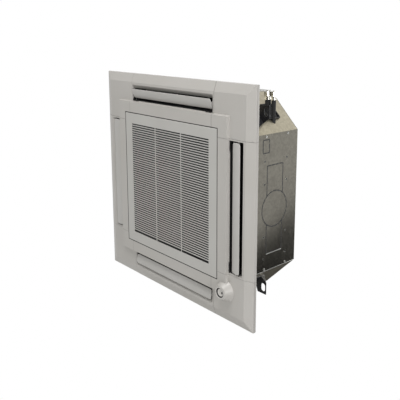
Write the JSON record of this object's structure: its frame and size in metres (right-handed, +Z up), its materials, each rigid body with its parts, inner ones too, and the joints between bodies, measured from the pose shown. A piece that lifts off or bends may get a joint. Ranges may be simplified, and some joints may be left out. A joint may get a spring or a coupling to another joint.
{
  "type": "ceiling cassette air conditioner",
  "caption": "Square ceiling panel with a louvred intake grille, swinging air vanes on every side and a corner sensor, under an octagonal steel case that holds the fan, coil and drain pump.",
  "frame": {"origin": "centre of the panel on its rim's upper face, which lies against the ceiling's lower surface", "axes": "+Z up into the ceiling, +X towards the side with the duct blanks, -Y towards the side with the drain outlet"},
  "size_m": [0.95, 0.95, 0.352],
  "materials": {
    "board": "matte",
    "coil": "satin",
    "copper": "satin",
    "cover_plastic": "satin",
    "dark_plastic": "matte",
    "fan_plastic": "satin",
    "filter_net": "matte",
    "filter_plastic": "matte",
    "foam": "matte",
    "foam_strip": "matte",
    "galvanised": "satin",
    "grille_plastic": "satin",
    "hanger_steel": "satin",
    "lens": "gloss",
    "motor": "satin",
    "nut_brass": "satin",
    "panel_plastic": "satin",
    "rubber": "matte",
    "steel": "satin",
    "vane_plastic": "satin"
  },
  "bodies": {
    "unit": {"bell_mouth": "fan_plastic", "case_corners": "galvanised", "case_liner": "foam", "case_screws": "steel", "case_sides": "galvanised", "circuit_board": "board", "coil_bends": "copper", "coil_fins": "coil", "coil_header": "copper", "coil_partition": "galvanised", "control_cover": "galvanised", "control_tray": "galvanised", "corner_cover_north_east": "cover_plastic", "corner_cover_north_west": "cover_plastic", "corner_cover_sensor": "cover_plastic", "corner_cover_south_west": "cover_plastic", "drain_pan": "foam", "drain_socket": "fan_plastic", "duct_gaskets": "foam_strip", "fan_motor": "motor", "flare_nuts": "nut_brass", "float_guide": "dark_plastic", "gas_pipe": "copper", "grommets": "rubber", "hanger_north_east": "hanger_steel", "hanger_north_west": "hanger_steel", "hanger_south_east": "hanger_steel", "hanger_south_west": "hanger_steel", "intake_gasket": "foam_strip", "knockout_large": "galvanised", "knockout_small": "galvanised", "liquid_pipe": "copper", "motor_pads": "rubber", "panel_frame": "panel_plastic", "panel_screws": "steel", "pipe_plate": "dark_plastic", "pump_body": "fan_plastic", "pump_motor": "motor", "sensor_drive": "dark_plastic", "terminal_block": "dark_plastic", "top_plate": "galvanised", "vane_drives": "dark_plastic"},
    "vane_east": {"vane_east": "vane_plastic"},
    "vane_south": {"vane_south": "vane_plastic"},
    "vane_west": {"vane_west": "vane_plastic"},
    "vane_north": {"vane_north": "vane_plastic"},
    "grille": {"intake_grille": "grille_plastic", "filter_frame": "filter_plastic", "filter_mesh": "filter_net"},
    "latch_west": {"grille_latch_west": "grille_plastic"},
    "latch_east": {"grille_latch_east": "grille_plastic"},
    "sensor": {"sensor_turret": "cover_plastic", "sensor_eye": "lens"},
    "fan": {"fan_shroud": "fan_plastic", "fan_blades": "fan_plastic", "fan_hub": "fan_plastic", "fan_shaft": "steel", "fan_nut": "steel"},
    "impeller": {"pump_impeller": "fan_plastic"},
    "float": {"drain_float": "fan_plastic"}
  },
  "joints": [
    {"name": "vane_east_swing", "type": "hinge", "parent": "unit", "child": "vane_east", "pos_m": [0.392, 0, -0.017], "axis": [0, 1, 0], "range_deg": [-9, 55]},
    {"name": "vane_south_swing", "type": "hinge", "parent": "unit", "child": "vane_south", "pos_m": [0, 0.392, -0.017], "axis": [-1, 0, 0], "range_deg": [-8, 56]},
    {"name": "vane_west_swing", "type": "hinge", "parent": "unit", "child": "vane_west", "pos_m": [-0.392, 0, -0.017], "axis": [0, -1, 0], "range_deg": [-4, 60]},
    {"name": "vane_north_swing", "type": "hinge", "parent": "unit", "child": "vane_north", "pos_m": [0, -0.392, -0.017], "axis": [1, 0, 0], "range_deg": [-22, 42]},
    {"name": "grille_hinge", "type": "hinge", "parent": "unit", "child": "grille", "pos_m": [0, -0.2975, -0.037], "axis": [-1, 0, 0], "range_deg": [0, 85]},
    {"name": "latch_west_slide", "type": "slide", "parent": "grille", "child": "latch_west", "axis": [0, -1, 0], "range_m": [0, 0.008], "stiffness_N_per_m": 60, "springref_m": -0.003},
    {"name": "latch_east_slide", "type": "slide", "parent": "grille", "child": "latch_east", "axis": [0, -1, 0], "range_m": [0, 0.008], "stiffness_N_per_m": 60, "springref_m": -0.003},
    {"name": "sensor_turn", "type": "hinge", "parent": "unit", "child": "sensor", "pos_m": [0.338, 0.342, -0.04], "axis": [0, 0, 1], "range_deg": [-150, 150]},
    {"name": "fan_spin", "type": "hinge", "parent": "unit", "child": "fan", "pos_m": [0, 0, 0.18], "axis": [0, 0, 1], "continuous": true},
    {"name": "impeller_spin", "type": "hinge", "parent": "unit", "child": "impeller", "pos_m": [0.296, -0.296, 0.06], "axis": [0, 0, 1], "continuous": true},
    {"name": "float_rise", "type": "slide", "parent": "unit", "child": "float", "axis": [0, 0, 1], "range_m": [0, 0.01]}
  ]
}
